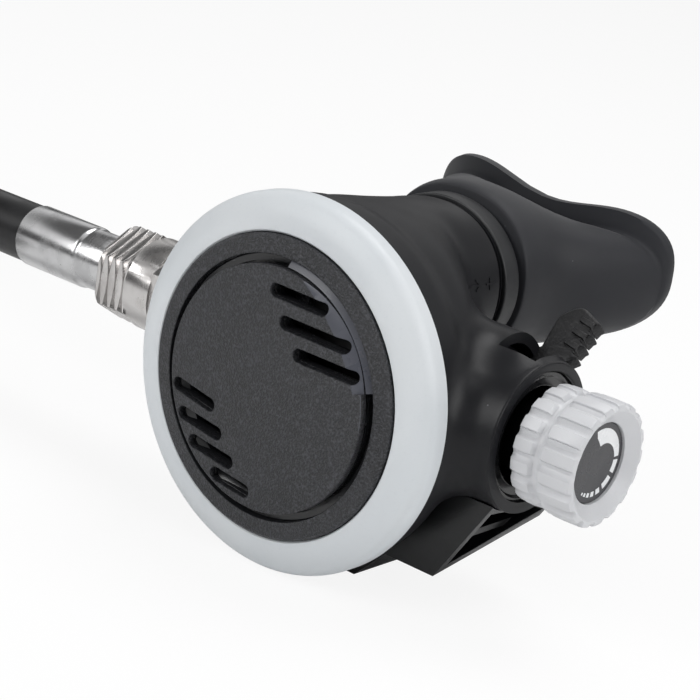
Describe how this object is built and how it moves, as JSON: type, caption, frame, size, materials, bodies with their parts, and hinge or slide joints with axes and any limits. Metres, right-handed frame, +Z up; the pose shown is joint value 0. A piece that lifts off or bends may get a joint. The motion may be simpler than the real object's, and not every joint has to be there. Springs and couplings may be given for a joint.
{
  "type": "scuba second-stage regulator",
  "caption": "Demand valve with purge cover, adjusting knob, venturi lever, exhaust tee, mouthpiece and low-pressure hose; turns line pressure into air on demand.",
  "frame": {"origin": "on the floor under the middle of the air barrel, on the exhaust tee's foot", "axes": "+X along the air barrel to the adjusting knob, +Y to the diver's mouth, +Z up"},
  "size_m": [0.3408, 0.1455, 0.07],
  "materials": {
    "case_plastic": "matte moulded",
    "ring_plastic": "satin",
    "cover_plastic": "fine grained",
    "button_plastic": "fine grained",
    "lever_plastic": "textured",
    "inner_plastic": "moulded",
    "knob_plastic": "satin",
    "dial_plastic": "gloss with printed scale",
    "tee_plastic": "matte moulded",
    "silicone": "matte silicone",
    "membrane": "clear silicone",
    "seal_rubber": "smooth",
    "hose_rubber": "glossy rubber",
    "brass_chrome": "chromed",
    "steel": "brushed",
    "spring_steel": "drawn wire",
    "tie_nylon": "moulded"
  },
  "bodies": {
    "regulator": {"front_ring": "ring_plastic", "purge_cover": "cover_plastic", "diaphragm": "membrane", "purge_spring": "spring_steel", "case": "case_plastic", "air_barrel": "brass_chrome", "barrel_locknut": "brass_chrome", "orifice": "brass_chrome", "orifice_seal": "seal_rubber", "poppet_spring": "spring_steel", "adjuster_gland": "brass_chrome", "exhaust_seat": "inner_plastic", "exhaust_valve": "membrane", "exhaust_tee": "tee_plastic", "mouthpiece": "silicone", "mouthpiece_tie": "tie_nylon", "swivel_nut": "brass_chrome", "hose_stem": "brass_chrome", "stem_seal": "seal_rubber", "hose_ferrule": "steel", "hose_tube": "hose_rubber", "hose_coil": "hose_rubber", "far_ferrule": "steel", "far_fitting": "brass_chrome", "far_seal": "seal_rubber"},
    "button": {"purge_button": "button_plastic"},
    "plate": {"diaphragm_plate": "steel"},
    "lever": {"demand_lever": "steel"},
    "valve": {"poppet": "inner_plastic", "valve_seat": "seal_rubber"},
    "adjuster": {"adjuster_pad": "inner_plastic", "adjuster_seal": "seal_rubber"},
    "knob": {"adjustment_knob": "knob_plastic", "knob_dial": "dial_plastic", "knob_screw": "steel", "adjusting_screw": "steel"},
    "venturi": {"venturi_lever": "lever_plastic", "venturi_vane": "lever_plastic"}
  },
  "joints": [
    {"name": "purge_press", "type": "slide", "parent": "regulator", "child": "button", "axis": [0, 1, 0], "range_m": [0, 0.002], "stiffness_N_per_m": 300, "springref_m": -0.001, "deforming": ["purge_spring"]},
    {"name": "diaphragm_travel", "type": "slide", "parent": "regulator", "child": "plate", "axis": [0, 1, 0], "range_m": [0, 0.002], "deforming": ["diaphragm"]},
    {"name": "lever_swing", "type": "hinge", "parent": "regulator", "child": "lever", "pos_m": [0.012, -0.0064, 0.0358], "axis": [0, 0, -1], "range_deg": [0, 8.9]},
    {"name": "poppet_travel", "type": "slide", "parent": "regulator", "child": "valve", "axis": [1, 0, 0], "range_m": [0, 0.001], "deforming": ["poppet_spring"]},
    {"name": "adjuster_travel", "type": "slide", "parent": "regulator", "child": "adjuster", "axis": [1, 0, 0], "range_m": [-0.002, 0], "deforming": ["poppet_spring"]},
    {"name": "knob_turn", "type": "hinge", "parent": "adjuster", "child": "knob", "pos_m": [0.05, 0, 0.0358], "axis": [1, 0, 0], "range_deg": [-720, 0]},
    {"name": "venturi_turn", "type": "hinge", "parent": "regulator", "child": "venturi", "pos_m": [0.036, 0, 0.0358], "axis": [1, 0, 0], "range_deg": [0, 55]}
  ],
  "couplings": [
    {"joint": "diaphragm_travel", "follows": "purge_press", "ratio": 1},
    {"joint": "lever_swing", "follows": "purge_press", "rad_per_m": 76.9},
    {"joint": "poppet_travel", "follows": "purge_press", "ratio": 0.49},
    {"joint": "knob_turn", "follows": "adjuster_travel", "rad_per_m": 6283.2}
  ]
}
